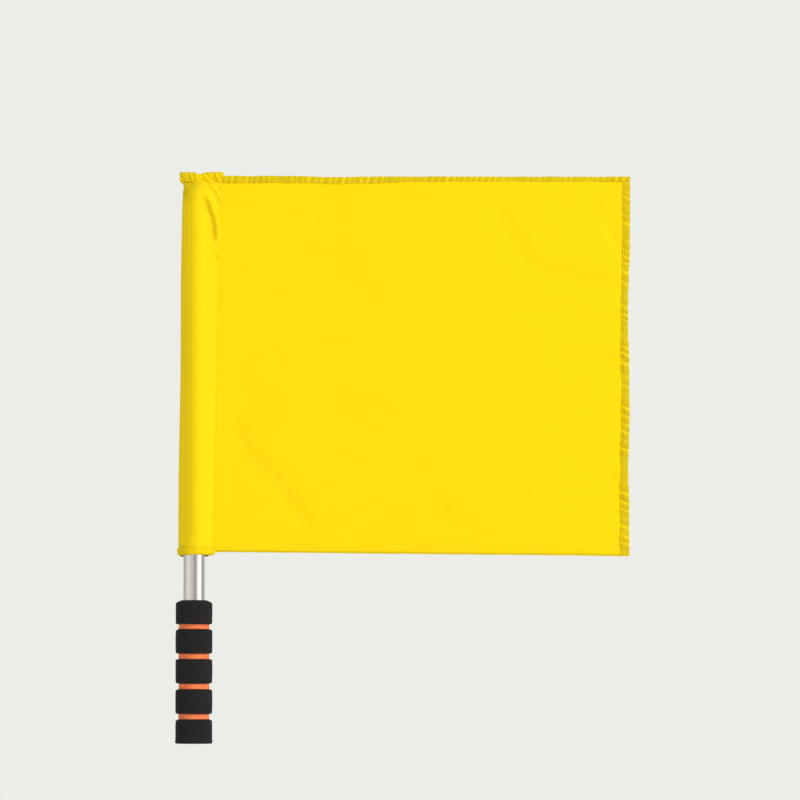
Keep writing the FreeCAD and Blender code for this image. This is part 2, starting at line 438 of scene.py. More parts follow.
def halfOutline(z, side):
    # from the leftmost point to the seam. The front hangs a little clear of the pole, to its right.
    left, leftRadius, poleRadius = between(sleeveStations, z - sleeveShape["foot"])
    lip = sleeveShape["lipHalf"]
    up = z - sleeveShape["foot"]
    tipX = seamX(z) - sleeveShape["lipCut"] * (1 - smooth(0, sleeveShape["lipCutHeight"], up))
    rootX = tipX - sleeveShape["lipWidth"]
    clear = 0.0
    if side < 0:
        clear = smooth(0, sleeveShape["clearFrom"], up) * (1 - smooth(*sleeveShape["clearEnds"], up))
    roll = Vector((sleeveShape["clearRight"] * clear, sleeveShape["clearFront"] * clear))
    rollRadius = poleRadius - sleeveShape["rollTighter"] * clear
    leftCentre = Vector((left + leftRadius, 0))
    apart = roll - leftCentre
    tilt = math.atan2(apart.y, apart.x)
    meet = tilt + math.acos((leftRadius - rollRadius) / apart.length)
    toRoot = Vector((rootX, lip)) - roll
    leave = math.atan2(toRoot.y, toRoot.x) + math.acos(rollRadius / toRoot.length)
    leftArc, leftRun, poleArc, rightRun, lipRun = sleeveShape["segments"]
    start, root = onCircle(leftCentre, leftRadius, meet), Vector((rootX, lip))

    points = []
    for step in range(leftArc):
        points.append(onCircle(leftCentre, leftRadius, mix(math.pi, meet, step / leftArc)))
    for step in range(leftRun):
        points.append(start.lerp(onCircle(roll, rollRadius, meet), step / leftRun))
    for step in range(poleArc):
        points.append(onCircle(roll, rollRadius, mix(meet, leave, step / poleArc)))
    for step in range(rightRun):
        points.append(onCircle(roll, rollRadius, leave).lerp(root, step / rightRun))
    for step in range(lipRun + 1):
        points.append(root.lerp(Vector((tipX, lip)), step / lipRun))
    return points


def lineDistance(x, z, path):
    # signed distance to a path, positive on its right, and how far along it the nearest point is
    best = (1e9, 0.0)
    total = sum(math.dist(a, b) for a, b in zip(path, path[1:]))
    done = 0.0
    for a, b in zip(path, path[1:]):
        run = math.dist(a, b)
        ux, uz = (b[0] - a[0]) / run, (b[1] - a[1]) / run
        along = min(max((x - a[0]) * ux + (z - a[1]) * uz, 0), run)
        dx, dz = x - a[0] - along * ux, z - a[1] - along * uz
        side = 1 if ux * dz - uz * dx < 0 else -1
        distance = math.hypot(dx, dz)
        if distance < abs(best[0]):
            best = (side * distance, (done + along) / total)
        done += run
    return best


# Folds that the closed top pulls into the sleeve: path as mm (in from the seam, down from the top),
# then height and width. Each steps up on its right side and hollows out on its left.
sleeveFolds = [
    ([(21.2, 20), (13.9, 33.9), (9, 47.5), (7.4, 57.3), (5.8, 65), (3.2, 76)], 5.6, 2.8),
    ([(17, 11.5), (10.6, 18), (4.9, 25), (0.9, 33)], 2.2, 2.3),
    ([(6.5, 13), (3, 17), (0.5, 20.5)], 2.2, 1),
    ([(6.2, 26), (3.4, 31), (0.8, 38)], 2.2, 1.2),
    ([(7.6, 79), (4.8, 84.5), (1.5, 91)], 2.2, 1.2),
    ([(9.6, 60), (6.6, 70), (4.4, 78)], 1.6, 1.2),
    ([(12.5, 44), (9.8, 60), (7.6, 78), (6.6, 100)], 1, 3.2),
    ([(33, 12), (30, 15), (24, 16)], 1.4, 1.6),
]
foldsEnd = 125    # mm down from the top, clear below every fold
backFolds = [
    ([(24, 16), (18, 34), (9, 52), (3, 60)], 4, 2.4),
    ([(12, 12), (7, 22), (3, 36)], 2.4, 1.8),
    ([(33, 12), (29, 17), (22, 19)], 1.4, 1.8),
]


def foldsAt(x, z, folds):
    # how far the folds lift the cloth, and how much painted shade goes into them
    inward = (seamX(z) - x) / mm
    down = (sleeveHigh.z - z) / mm
    lift, paintedFoldShade = 0.0, 0.0
    if down > foldsEnd:
        return lift, paintedFoldShade
    for path, high, width in folds:
        distance, share = lineDistance(inward, down, path)
        distance += 0.35 * width * wobble(down * 0.22, high, 0)
        fade = smooth(-0.04, 0.32, share) * (1 - smooth(0.72, 1.0, share))
        lift -= high * fade * distance / width * hump(distance, width)
        paintedFoldShade += 0.14 * high * fade * hump(distance - 0.1 * width, width)
    return lift * mm, min(paintedFoldShade, 1.0)


sleeveColumns = 2 * sum(sleeveShape["segments"])


def sleevePoint(column, z, inset):
    # column runs from the back lip round the left edge to the front lip
    last = sleeveColumns // 2
    index = abs(column - last)
    side = 1 if column < last else -1
    outline = halfOutline(z, side)
    x, y = outline[index]
    before, after = outline[max(index - 1, 0)], outline[min(index + 1, last)]
    normal = Vector((before.y - after.y, after.x - before.x)).normalized()
    if index == 0:
        normal = Vector((-1, 0))
    up = z - sleeveShape["foot"]
    lift = -inset
    if index > sleeveShape["segments"][0]:
        folded, _ = foldsAt(x, z, sleeveFolds if side < 0 else backFolds)
        lift += folded * smooth(0, 4 * mm, seamX(z) - x)
    # the hem stands proud in small tucks, and its stitching pulls a groove
    free = smooth(0, 6, last - index)
    hemShare = smooth(-0.3 * mm, 1.6 * mm, up) * (1 - smooth(6.4 * mm, 7.6 * mm, up))
    tuck = wobble(index * 0.5, side * 3.1, up * 120)
    lift += (sleeveShape["hemProud"] + sleeveShape["hemTuck"] * tuck) * hemShare * free
    pull = wobble(index * 0.8, side * 7.3, 0)
    groove = (sleeveShape["groove"] + sleeveShape["grooveVaries"] * pull) * free
    lift -= groove * hump(up - sleeveShape["hem"], sleeveShape["grooveWidth"])
    # faint lengthwise folds
    lift += 0.25 * mm * wobble(x * 120, side * 5.0, z * 9) * smooth(0, 10, last - index)
    x, y = x + normal.x * lift, y + normal.y * lift
    if index > sleeveShape["segments"][0]:
        y = max(y, sleeveShape["lipHalf"])
    reach = math.hypot(x, y)
    if z < sleeveShape["poleClearTo"] and reach < sleeveShape["poleClear"]:
        x, y = x * sleeveShape["poleClear"] / reach, y * sleeveShape["poleClear"] / reach
    return Vector((x, side * y, z))


def runningLengths(points):
    lengths = [0.0]
    for a, b in zip(points, points[1:]):
        lengths.append(lengths[-1] + (b - a).length)
    return lengths


def finishCloth(piece, degrees, paintedShadeAt):
    # the function passed in gives each point's painted shade, from 0 for the cloth's own colour to 1 for
    # the deepest
    shadeSmooth(piece, degrees)
    giveMaterial(piece, taffeta, "flag_cloth")
    paintedShadeAmount = piece.data.attributes.new("paintedShadeAmount", "FLOAT", "POINT")
    for vertex in piece.data.vertices:
        paintedShadeAmount.data[vertex.index].value = paintedShadeAt(vertex.co)


def clothGrid(name, columns, rows, place):
    # place(column, row) gives a point, and the map is measured in metres along the columns and rows
    deselectAll()
    bpy.ops.mesh.primitive_grid_add(x_subdivisions=columns, y_subdivisions=rows, size=2)
    cloth = bpy.context.object
    cloth.name = name
    points = [[place(column, row) for column in range(columns + 1)] for row in range(rows + 1)]
    acrossCut = runningLengths(points[rows // 2])
    upCut = runningLengths([line[columns // 2] for line in points])
    cuts = []
    for vertex in cloth.data.vertices:
        column = round((vertex.co.x + 1) / 2 * columns)
        row = round((vertex.co.y + 1) / 2 * rows)
        vertex.co = points[row][column]
        cuts.append((acrossCut[column], upCut[row]))
    layer = cloth.data.uv_layers[0]
    layer.name = "cut"
    for loop in cloth.data.loops:
        layer.data[loop.index].uv = cuts[loop.vertex_index]
    return cloth


def sleeveRows():
    # up the inside of the hem's turned-in edge, round the foot and up the outside
    foot, hem = sleeveShape["foot"], sleeveShape["hem"]
    rows = []
    for step in range(7):
        rows.append((foot + hem * (1 - step / 6) + 0.1 * mm, sleeveShape["hemGap"]))
    rows.append((foot + 0.05 * mm, sleeveShape["hemGap"] * 0.6))
    rows.append((foot, sleeveShape["hemGap"] * 0.25))
    rise, count = sleeveHigh.z - sleeveShape["topGap"] - foot, sleeveShape["rows"]
    for step in range(count + 1):
        rows.append((foot + rise * step / count, 0.0))
    return rows


sleeveLevels = sleeveRows()


def footLift(point):
    # the front foot rides up a little on the pole, and the back one hangs lower
    up = point.z - sleeveShape["foot"]
    low = 1 - smooth(0, 14 * mm, up)
    rise = 0.7 * mm * hump(point.x - 3 * mm, 9 * mm) + 0.25 * mm * wobble(point.x * 200, 0, 3)
    if point.y > 0:
        rise -= sleeveShape["backHangs"] * smooth(0, 3 * mm, point.y)
    return rise * low


def placeSleeve(column, row):
    z, inset = sleeveLevels[row]
    point = sleevePoint(column, z, inset)
    point.z += footLift(point)
    return point


sleeveCloth = clothGrid("sleeveCloth", sleeveColumns, len(sleeveLevels) - 1, placeSleeve)
applyModifier(sleeveCloth, "SOLIDIFY", thickness=sleeveShape["thickness"], offset=0.0)


def sleevePaintedShade(place):
    # painted shade: deepest in the folds and on the hem's groove and rolled foot, with a painted shadow
    # below the band's left half; the rest of the sleeve gets a little, less near its lips
    _, paintedFoldShade = foldsAt(place.x, place.z, sleeveFolds if place.y < 0 else backFolds)
    up = place.z - sleeveShape["foot"]
    patchy = wobble(place.x * 260, place.y * 260, 4.0)
    # painted shade along the hem, on its stitched groove and on its rolled foot
    hem = (1 - smooth(7 * mm, 8.5 * mm, up)) * (0.3 + 0.3 * patchy)
    hem += (0.35 + 0.5 * patchy) * hump(up - sleeveShape["hem"], 0.9 * mm)
    hem += 1 - smooth(0.5 * mm, 1.8 * mm, up)
    # a painted shadow below the band's left half
    paintedBandShadow = smooth(346 * mm, 366 * mm, up) * (1 - smooth(-3 * mm, 14 * mm, place.x))
    # a little painted shade over the whole sleeve, less near its lips
    lips = 1 - smooth(2 * mm, 7 * mm, seamX(place.z) - place.x)
    return min(max(0.21 - 0.19 * lips + hem + 0.75 * paintedFoldShade + 0.6 * paintedBandShadow, 0.0), 1.0)


finishCloth(sleeveCloth, 70, sleevePaintedShade)
print("sleeve ready")


panelShape = {
    "thickness": 0.26 * mm,
    "tuckedIn": 3 * mm,        # how far the panel goes in between the sleeve's layers
    "footHoist": 190.9 * mm,
    "footFly": panelLow.z - 0.7 * mm,
    "top": panelHigh.z + 0.4 * mm,
    "fly": panelHigh.x,
    "edgeGap": 1.2 * mm,       # the sheet stops this far inside its folded hems
}
# Slow waves through the cloth: height in mm, turns across and up the panel, and start
panelWaves = [(1.5, 0.85, 0.3, 0.6), (0.9, 0.35, -1.05, 2.0)]
# Faint creases left from folding: path in mm (right of the pole, height), then depth and width
panelCreases = [
    ([(297, 552), (315, 515), (334, 484), (364, 469), (424, 459)], 1.3, 8),
    ([(324, 550), (340, 518), (372, 507)], 0.7, 6),
    ([(392, 552), (414, 521), (427, 490)], 0.8, 6),
    ([(358, 386), (395, 392), (427, 384)], 0.8, 6),
    ([(30, 380), (50, 368), (64, 335)], 0.7, 6),
    ([(42, 340), (50, 294), (87, 257), (112, 222), (126, 198)], 1.2, 8),
    ([(236, 256), (254, 226), (294, 206)], 0.8, 7),
    ([(396, 304), (389, 275), (428, 262)], 0.7, 6),
    ([(321, 266), (333, 224)], 0.6, 6),
]


# The fly edge is drawn in above its middle and a little lower down: depth, height and width in mm.
flyHumps = [(1.9, 442, 44), (1.0, 283, 28)]
# It also steps in on its way down: depth, then the heights between which it does
flySteps = [(1.1, 400, 470), (0.6, 262, 300)]


def flyX(z):
    drawn = -0.4 * mm
    for depth, height, width in flyHumps:
        drawn += depth * mm * hump(z - height * mm, width * mm)
    for depth, low, high in flySteps:
        drawn += depth * mm * (1 - smooth(low * mm, high * mm, z))
    return panelShape["fly"] - drawn + 0.3 * mm * wobble(z * 90, 0, 0)


def panelFoot(x):
    share = (x - seamFoot.x) / (panelShape["fly"] - seamFoot.x)
    ripple = 0.3 * mm * wobble(x * 60, 3, 0)
    return mix(panelShape["footHoist"], panelShape["footFly"], share) + ripple


def panelTop(x):
    sag = 0.7 * mm * smooth(90 * mm, 150 * mm, x) + 0.7 * mm * hump(x - 140 * mm, 20 * mm)
    return panelShape["top"] - sag + 0.25 * mm * wobble(x * 60, 8, 0)


def tuckPhase(along, pitch, seed):
    # counts the lumps along a row of stitches, which are unevenly long
    at = along / pitch
    return at + 0.75 * wobble(at * 0.5, seed, 0.5)


def tucks(along, pitch, seed):
    # rounded lumps with sharp creases between, as stitches pull cloth into, from 0 to 1
    at = along / pitch
    phase = tuckPhase(along, pitch, seed)
    size = 0.55 + 0.6 * wobble(at * 0.33, seed, 9.5)
    swell = 0.3 * wobble(at * 0.8, seed, 5.1)
    return abs(math.sin(math.pi * phase)) ** 0.8 * max(size, 0.1) + swell + 0.15


def creasesAt(x, z):
    # how deep the creases lie, and how much painted shade they get
    depth, paintedCreaseShade = 0.0, 0.0
    for path, deep, wide in panelCreases:
        distance, share = lineDistance(x / mm, z / mm, path)
        if abs(distance) < 3 * wide:
            fade = smooth(0.0, 0.2, share) * (1 - smooth(0.8, 1.0, share))
            depth += deep * mm * fade * hump(distance, wide)
            paintedCreaseShade += deep * fade * hump(distance, wide)
    return depth, paintedCreaseShade


def panelDepth(x, z):
    # how far the cloth lies behind the flag's middle plane
    width = panelShape["fly"] - seamFoot.x
    across = (x - seamX(z)) / width
    up = (z - panelShape["footFly"]) / (panelShape["top"] - panelShape["footFly"])
    free = smooth(0.03, 0.55, across)
    depth = 0.0
    for height, turnsAcross, turnsUp, start in panelWaves:
        depth += height * mm * free * math.sin(math.tau * (turnsAcross * across + turnsUp * up) + start)
    depth += 0.5 * mm * smooth(0.02, 0.3, across) * wobble(x * 14, 4.0, z * 14)
    depth += creasesAt(x, z)[0] * smooth(0.01, 0.05, across)
    # the hems' stitching draws small tucks into the sheet beside them
    fromFly = flyX(z) - x
    depth += 0.5 * mm * hump(max(fromFly - 8 * mm, 0), 6 * mm) * (tucks(z, 5.2 * mm, 1) - 0.5)
    fromTop = panelShape["top"] - z
    topTuck = (tucks(x, 6.1 * mm, 2) - 0.5) * smooth(0.01, 0.04, across)
    depth += 0.2 * mm * hump(max(fromTop - 7 * mm, 0), 5 * mm) * topTuck
    return depth


def spread(parts):
    # distances from zero, as runs of (end, step)
    places, at = [0.0], 0.0
    for end, step in parts:
        count = max(1, round((end - at) / step))
        places += [mix(at, end, (index + 1) / count) for index in range(count)]
        at = end
    return places


sheetWidth = panelShape["fly"] - seamFoot.x + panelShape["tuckedIn"]
panelPlaces = spread([(12 * mm, 1 * mm), (sheetWidth - 26 * mm, 4 * mm), (sheetWidth, 1.4 * mm)])
panelRows = 300


def placePanel(column, row):
    share = panelPlaces[column] / sheetWidth
    up = row / panelRows
    x = mix(seamFoot.x, panelShape["fly"], share)
    foot, top = panelFoot(x) + panelShape["edgeGap"], panelTop(x) - panelShape["edgeGap"]
    z = mix(foot, top, up)
    x = mix(seamX(z) - panelShape["tuckedIn"], flyX(z) - panelShape["edgeGap"], share)
    return Vector((x, panelDepth(x, z), z))


panelCloth = clothGrid("panelCloth", len(panelPlaces) - 1, panelRows, placePanel)
applyModifier(panelCloth, "SOLIDIFY", thickness=panelShape["thickness"], offset=0.0)


def panelPaintedShade(place):
    # painted shade a very little in the creases, and darker in random patches near the top and bottom hems
    _, paintedCreaseShade = creasesAt(place.x, place.z)
    patchy = wobble(place.x * 26, 1.5, place.z * 40)
    beside = hump(panelHigh.z - place.z, 24 * mm) + hump(place.z - panelLow.z, 26 * mm)
    return min(0.11 * paintedCreaseShade + 0.22 * max(patchy, 0) * beside, 1.0)


finishCloth(panelCloth, 70, panelPaintedShade)
print("panel ready")


def hemProfile(width, front, back, groove):
    # round a folded strip: from the outer edge over the front to the inner edge, then back behind
    # each entry is (share of the width, height out of the front, how much tucks lift it)
    profile = []
    for step in range(25):
        s = step / 24
        stitched = hump(s * width - groove, 0.6 * mm)
        rounded = rounding(s / 0.12) * rounding((1 - s) / 0.08)
        profile.append((s, front * rounded * (1 - 0.35 * stitched), rounded * (1 - 0.6 * stitched)))
    for step in range(1, 9):
        s = 1 - step / 9
        profile.append((s, -back * rounding(s / 0.08), 0.0))
    return profile


def closeEnds(piece):
    # joins the strip's first and last columns, and caps its open ends
    makeActive(piece)
    bpy.ops.object.mode_set(mode="EDIT")
    bpy.ops.mesh.select_all(action="SELECT")
    bpy.ops.mesh.remove_doubles(threshold=0.005 * mm)
    bpy.ops.mesh.select_mode(type="EDGE")
    bpy.ops.mesh.select_all(action="DESELECT")
    bpy.ops.mesh.select_non_manifold(
        extend=False, use_wire=False, use_multi_face=False, use_non_contiguous=False, use_verts=False
    )
    bpy.ops.mesh.edge_face_add()
    bpy.ops.mesh.select_all(action="SELECT")
    bpy.ops.mesh.normals_make_consistent(inside=False)
    bpy.ops.object.mode_set(mode="OBJECT")


def hemStrip(name, edge, inward, length, rows, shape):
    # edge(t) is the outer edge's point in the flag's plane, inward the way the strip lies
    profile = hemProfile(shape["width"], shape["front"], shape["back"], shape["width"] - shape["stitchIn"])
    columns = len(profile)

    def place(column, row):
        s, proud, lifted = profile[column % columns]
        t = row / rows
        start = edge(t)
        along = t * length
        lump = tucks(along + shape["lean"] * s * shape["width"], shape["tuckPitch"], shape["seed"])
        width = shape["width"] + shape["widen"](t) + 0.35 * mm * wobble(along * 75, shape["seed"], 2)
        width += 0.7 * mm * (lump - 0.5) * smooth(0.5, 1, s)
        reach = s * width + shape["scallop"] * max(0.7 - lump, 0) * (1 - s)
        x = start[0] + inward[0] * reach
        z = start[1] + inward[1] * reach
        tallness = 1 - shape["thinEnd"] * smooth(0.976, 0.988, t)
        proud = (proud + shape["tuckHeight"] * (lump - 0.4) * lifted) * tallness
        return Vector((x, panelDepth(x, z) - proud, z))

    strip = clothGrid(name, columns, rows, place)
    closeEnds(strip)
    return strip


topHemShape = {
    "width": 7.0 * mm, "front": 0.9 * mm, "back": 0.24 * mm, "stitchIn": 1.3 * mm, "thinEnd": 0.0,
    "tuckPitch": 6.4 * mm, "tuckHeight": 1.6 * mm, "lean": 0.3, "scallop": 0.6 * mm, "seed": 23,
    "widen": lambda t: -2.0 * mm * smooth(0.36, 0.5, t),
}
# folded to the back, so that only its rolled lower edge shows from the front
bottomHemShape = {
    "width": 5.6 * mm, "front": 0.22 * mm, "back": 0.85 * mm, "stitchIn": 1.2 * mm, "thinEnd": 0.0,
    "tuckPitch": 7.0 * mm, "tuckHeight": 0.12 * mm, "lean": 0.2, "scallop": 0.3 * mm, "seed": 37,
    "widen": lambda t: 0.0,
}
flyHemShape = {
    "width": 7.6 * mm, "front": 1.1 * mm, "back": 0.27 * mm, "stitchIn": 1.4 * mm, "thinEnd": 0.45,
    "tuckPitch": 9.4 * mm, "tuckHeight": 2.0 * mm, "lean": -0.4, "scallop": 1.1 * mm, "seed": 11,
    "widen": lambda t: 1.6 * mm * (1 - smooth(0.0, 0.35, t)) - 1.0 * mm * hump(t - 0.67, 0.12),
}


def topEdge(t):
    x = mix(seamX(panelShape["top"]) - 1.2 * mm, panelShape["fly"], t)
    return x, panelTop(x)


def bottomEdge(t):
    x = mix(seamX(panelShape["footHoist"]) - 1.2 * mm, panelShape["fly"] - 1.5 * mm, t)
    return x, panelFoot(x)


def flyEdge(t):
    z = mix(panelShape["footFly"], panelShape["top"] - 1 * mm, t)
    return flyX(z), z


flyLength = panelHigh.z - panelLow.z
topLength = panelShape["fly"] - seamX(panelShape["top"])
bottomLength = panelShape["fly"] - seamFoot.x
flyHem = hemStrip("flyHem", flyEdge, (-1, 0), flyLength, 420, flyHemShape)
topHem = hemStrip("topHem", topEdge, (0, -1), topLength, 420, topHemShape)
bottomHem = hemStrip("bottomHem", bottomEdge, (0, 1), bottomLength, 380, bottomHemShape)


def hemPaintedShade(shape, along, inside):
    # painted shade deep all along the folded hem, with paler painted-light notches set just to the lit side
    # of some creases between lumps
    seed = shape["seed"]
    # the shift of 0.15 sets each notch of painted light on the lit side of its crease
    phase = tuckPhase(along + shape["lean"] * inside, shape["tuckPitch"], seed) + 0.15
    paintedLightNotch = 1 - smooth(0.15, 0.65, abs(math.sin(math.pi * phase)))
    opened = smooth(-0.35, 0.3, wobble(phase * 0.7, seed, 3.3))
    return 1.05 - 0.85 * paintedLightNotch * opened + 0.2 * wobble(along * 110, inside * 300, seed)


finishCloth(flyHem, 60, lambda place: hemPaintedShade(
    flyHemShape, place.z - panelShape["footFly"], flyX(place.z) - place.x))
finishCloth(topHem, 60, lambda place: hemPaintedShade(
    topHemShape, place.x - seamX(panelShape["top"]), panelShape["top"] - place.z))


# Every row of stitches, on the hems and on the sleeve
stitch = {"length": 2.5 * mm, "pitch": 3.1 * mm, "radius": 0.24 * mm, "sink": 0.05 * mm}


def bottomPaintedShade(place):
    # only the rolled lower edge shows; it gets painted shade, which reaches up a little at each stitch
    drawn = 0.6 * mm * tucks(place.x, stitch["pitch"], bottomHemShape["seed"])
    return 1.3 - 1.2 * smooth(1.2 * mm, 2.3 * mm, place.z - panelFoot(place.x) - drawn)


finishCloth(bottomHem, 60, bottomPaintedShade)
print("hems ready")


# The sleeve's closed top: gathered, folded over and sewn flat
bandShape = {
    "left": -15.3 * mm, "foot": 560.9 * mm, "rows": 210, "around": 68,
    "half": 1.25 * mm, "leftFuller": 2.2 * mm, "tuckPitch": 5.8 * mm, "tuckHeight": 1.5 * mm,
    "stitchUp": 2.3 * mm,      # how far above its foot it is sewn
    "seamAt": 566 * mm,        # where its right end meets the seam
}
# mm (right of the pole, height above the foot), then height and width
bandFolds = [
    ([(21, 11.5), (22, 7.5), (25, 2.5), (29, -2)], 4.6, 1.4),
    ([(9, 10.5), (10.5, 7), (14, 3), (19, -1.5)], 3, 1.5),
    ([(-11, 9), (-6, 7.2), (-1, 6.5)], 1.8, 1.1),
    ([(1, 9), (2, 5.5), (6, 1)], 1.8, 1.2),
]


def bandTop(x):
    # dips near the pole and stands highest over the seam
    dip = -2.0 * mm * hump(x - 5.0 * mm, 3.6 * mm)
    peak = 0.35 * mm * hump(x - 24 * mm, 4 * mm)
    corners = -1.6 * mm * smooth(27.6 * mm, 29.2 * mm, x)
    corners -= 0.7 * mm * (1 - smooth(bandShape["left"], -14 * mm, x))
    ripple = 0.35 * mm * wobble(x * 260, 1, 0)
    return sleeveHigh.z - 0.3 * mm + dip + peak + corners + ripple


def placeBand(column, row):
    # a flattened loop: up the front, over the top and down the back
    t = row / bandShape["rows"]
    x = mix(bandShape["left"], seamX(bandShape["seamAt"]) + 0.2 * mm, t)
    angle = math.tau * (column / bandShape["around"] % 1.0)
    foot = bandShape["foot"] + 0.7 * mm * wobble(x * 210, 6, 0)
    foot += 0.8 * mm * (1 - smooth(bandShape["left"], -13 * mm, x))
    left = 1 - smooth(-4 * mm, 9 * mm, x)
    rise = -math.cos(angle)
    rise = math.copysign(abs(rise) ** 0.8, rise)
    z = mix(foot, bandTop(x), (rise + 1) / 2)
    side = -1 if angle < math.pi else 1
    body = abs(math.sin(angle)) ** (0.45 + 0.35 * left)
    for end in (t, 1 - t):
        body *= max(0.02 ** 0.5, rounding(end / 0.03))
    lump = tucks(x + side * 1.2 * mm + 0.35 * (z - foot), bandShape["tuckPitch"], 51 + side)
    seam = hump(z - foot - bandShape["stitchUp"], 0.8 * mm)
    calm = 1 - 0.6 * smooth(2 * mm, 10 * mm, x)
    half = (bandShape["half"] + bandShape["leftFuller"] * left) * (1 - 0.4 * seam * (1 - left))
    half += bandShape["tuckHeight"] * calm * (lump - 0.4) * (1 - 0.7 * seam)
    for path, high, width in bandFolds:
        distance, share = lineDistance(x / mm, (z - bandShape["foot"]) / mm, path)
        half -= high * mm * side * distance / width * hump(distance, width) * smooth(0, 0.2, share)
    half = max(half, 0.45 * mm)
    drift = 0.8 * mm * wobble(x * 95, 2.0, z * 50)
    return Vector((x, side * half * body + drift * smooth(0, 0.2, 1 - t), z))


closingBand = clothGrid("closingBand", bandShape["around"], bandShape["rows"], placeBand)
closeEnds(closingBand)


def bandPaintedShade(place):
    # painted shade: deepest at the tightly folded left end, with painted dark lines along the top edge and
    # along the foot of the left part
    fromTop = bandTop(place.x) - place.z
    fromFoot = place.z - bandShape["foot"]
    left = 1 - smooth(-6 * mm, 6 * mm, place.x)
    # painted dark lines along the top edge and the left part's foot
    edge = max(1 - smooth(0.6 * mm, 1.9 * mm, fromTop), (1 - smooth(0.3 * mm, 1.6 * mm, fromFoot)) * left)
    return max(0.25 + 0.6 * left, edge)


finishCloth(closingBand, 60, bandPaintedShade)
print("closing band ready")


def modelStitch():
    # one stitch, that is copied along every row
    deselectAll()
    bpy.ops.mesh.primitive_cylinder_add(
        vertices=6, radius=stitch["radius"], depth=stitch["length"], rotation=(0, math.pi / 2, 0)
    )
    model = bpy.context.object
    model.name = "stitchModel"
    bpy.ops.object.transform_apply(location=False, rotation=True, scale=False)
    bpy.ops.object.mode_set(mode="EDIT")
    for share in (-0.42, -0.22, 0.0, 0.22, 0.42):
        bpy.ops.mesh.select_all(action="SELECT")
        bpy.ops.mesh.bisect(plane_co=(share * stitch["length"], 0, 0), plane_no=(1, 0, 0))
    # the ends narrow and dive into the cloth
    for reach, size, dive in ((0.5, 0.3, 0.42), (0.42, 0.8, 0.2), (0.22, 1.0, 0.04)):
        for side in (-1, 1):
            place = side * reach * stitch["length"]
            pick(model, "VERT", lambda vertex: abs(vertex.co.x - place) < 0.02 * stitch["length"])
            bpy.ops.transform.resize(value=(1, size, size), center_override=(place, 0, 0))
            bpy.ops.transform.translate(value=(0, 0, -dive * mm))
    bpy.ops.object.mode_set(mode="OBJECT")
    shadeSmooth(model, 80)
    model.data.materials.append(sewingThread)
    return model


stitchModel = modelStitch()


def surfaceOf(*pieces):
    # a tree of the finished cloth, to lay threads on
    points, faces = [], []
    for piece in pieces:
        start = len(points)
        points += [vertex.co.copy() for vertex in piece.data.vertices]
        faces += [[start + index for index in polygon.vertices] for polygon in piece.data.polygons]
    return BVHTree.FromPolygons(points, faces)


def layStitches(name, nodeName, runs):
    # each run is a list of (point, outward direction), a pitch apart
    copies = []
    for run in runs:
        for (point, outward), (nextPoint, _) in zip(run, run[1:]):
            along = (nextPoint - point).normalized()
            across = outward.cross(along).normalized()
            up = along.cross(across)
            turn = Matrix((along, across, up)).transposed().to_4x4()
            middle = (point + nextPoint) / 2 - up * stitch["sink"]
            copy = stitchModel.copy()
            copy.data = stitchModel.data.copy()
            copy.matrix_world = Matrix.Translation(middle) @ turn
            scene.collection.objects.link(copy)
            copies.append(copy)
    deselectAll()
    for copy in copies:
        copy.select_set(True)
    bpy.context.view_layer.objects.active = copies[0]
    bpy.ops.object.join()
    row = bpy.context.object
    row.name = name
    bpy.ops.object.transform_apply(location=True, rotation=True, scale=True)
    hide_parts(nodeName)
    return row


def straightRun(tree, start, end, side):
    # a row laid on the cloth between two points of the flag's plane, front (-1) or back (1)
    start, end = Vector((start[0], 0, start[1])), Vector((end[0], 0, end[1]))
    count = max(2, round((end - start).length / stitch["pitch"]))
    run = []
    for step in range(count + 1):
        aim = start.lerp(end, step / count)
        hit, normal, _, _ = tree.ray_cast(aim + Vector((0, side * 0.05, 0)), Vector((0, -side, 0)))
        if hit is not None:
            outward = normal * math.copysign(1, normal.y * side)
            run.append((hit, Vector((0, side, 0)).lerp(outward, 0.5).normalized()))
    return run


panelTree = surfaceOf(panelCloth, topHem, bottomHem, flyHem)
sleeveTree = surfaceOf(sleeveCloth)
bandTree = surfaceOf(closingBand)
rowStarts = 9 * mm      # the hems' rows start this far from the seam
seamIn = 1.6 * mm
topLine = panelShape["top"] - topHemShape["width"] + topHemShape["stitchIn"]
bottomIn = bottomHemShape["width"] - bottomHemShape["stitchIn"]
flyIn = flyHemShape["width"] - flyHemShape["stitchIn"]
flyLow, flyHigh = panelShape["footFly"] + 2 * mm, panelShape["top"] - topHemShape["width"] - 1 * mm
flyMiddle = 415 * mm
seamLow, seamHigh = sleeveShape["foot"] + 4 * mm, bandShape["foot"] - 1 * mm
bandLine = bandShape["foot"] + bandShape["stitchUp"]
# each row's name, node, cloth and the points in the flag's plane that it goes through
stitchRows = [
    ("topHemStitches", "top_hem_thread", panelTree,
     [(seamX(topLine) + rowStarts, topLine), (panelShape["fly"] - 2 * mm, topLine)]),
    ("bottomHemStitches", "bottom_hem_thread", panelTree,
     [(seamX(panelShape["footHoist"]) + rowStarts, panelFoot(seamFoot.x + rowStarts) + bottomIn),
      (panelShape["fly"] - flyHemShape["width"] - 1 * mm, panelShape["footFly"] + bottomIn + 0.3 * mm)]),
    ("flyHemStitches", "fly_hem_thread", panelTree,
     [(flyX(z) - flyIn, z) for z in (flyLow, flyMiddle, flyHigh)]),
    ("seamStitches", "sleeve_seam_thread", sleeveTree,
     [(seamX(z) - seamIn, z) for z in (seamLow, seamHigh)]),
    ("closingStitches", "sleeve_closing_thread", bandTree,
     [(bandShape["left"] + 1.5 * mm, bandLine), (seamX(bandLine) - 1.5 * mm, bandLine)]),
]
laid = []
for name, nodeName, tree, marks in stitchRows:
    runs = []
    for side in (-1, 1):
        for start, end in zip(marks, marks[1:]):
            runs.append(straightRun(tree, start, end, side))
    laid.append(layStitches(name, nodeName, runs))
